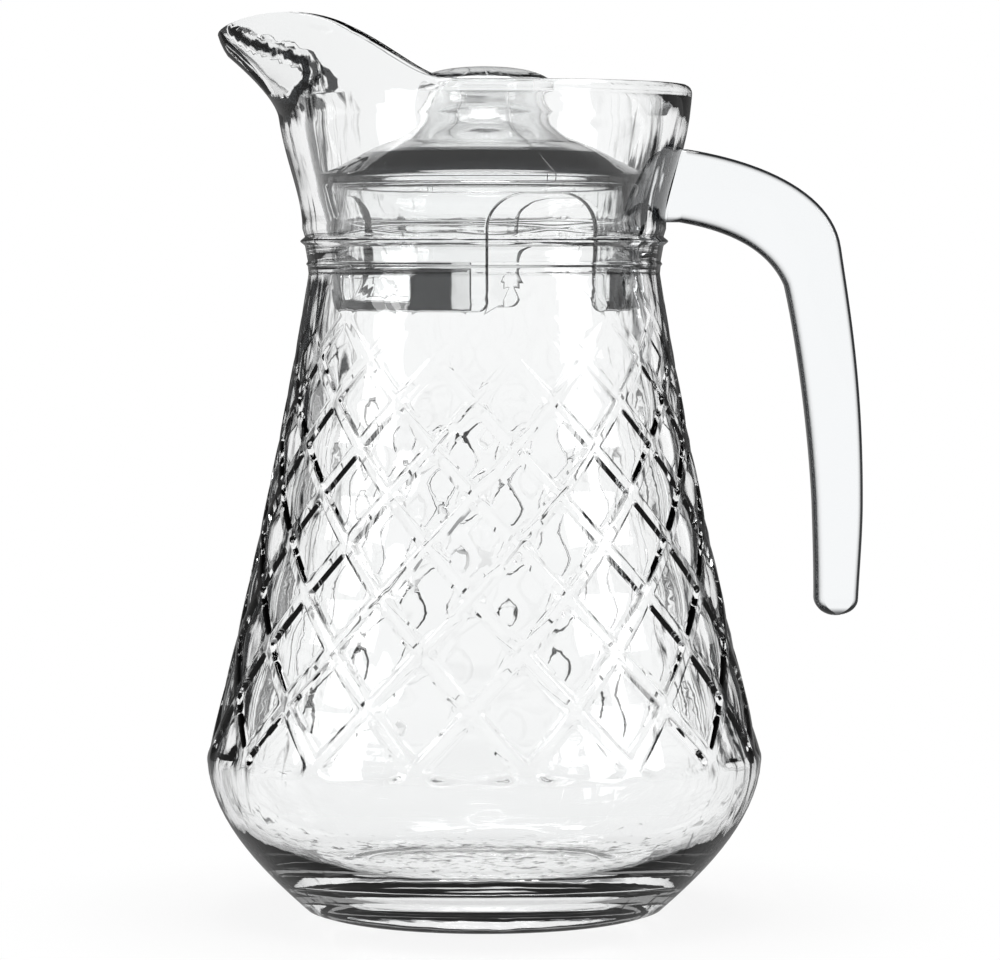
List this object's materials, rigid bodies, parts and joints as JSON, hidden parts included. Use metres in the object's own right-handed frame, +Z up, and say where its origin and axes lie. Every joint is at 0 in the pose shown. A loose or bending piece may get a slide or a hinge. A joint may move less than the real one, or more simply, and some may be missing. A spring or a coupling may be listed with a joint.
{
  "type": "glass pitcher with lid",
  "caption": "Clear glass pitcher with a raised diamond lattice, a high beak spout, an open-ended strap handle and a clear snap-in lid on three legs.",
  "frame": {"origin": "centre of the ring that the pitcher rests on, on the axis of the body", "axes": "+Z up along the body's axis, -X towards the spout, +X towards the handle, +Y to the left of someone looking from the spout to the handle's far side"},
  "size_m": [0.1836, 0.1556, 0.2506],
  "materials": {
    "clear_glass": "polished, clear",
    "clear_plastic": "glossy, clear moulded"
  },
  "bodies": {
    "pitcher": {"glass_body": "clear_glass", "handle": "clear_glass"},
    "lid": {"lid": "clear_plastic"}
  },
  "joints": [
    {"name": "lid_lift", "type": "slide", "parent": "pitcher", "child": "lid", "axis": [0, 0, 1], "range_m": [0, 0.09]}
  ]
}
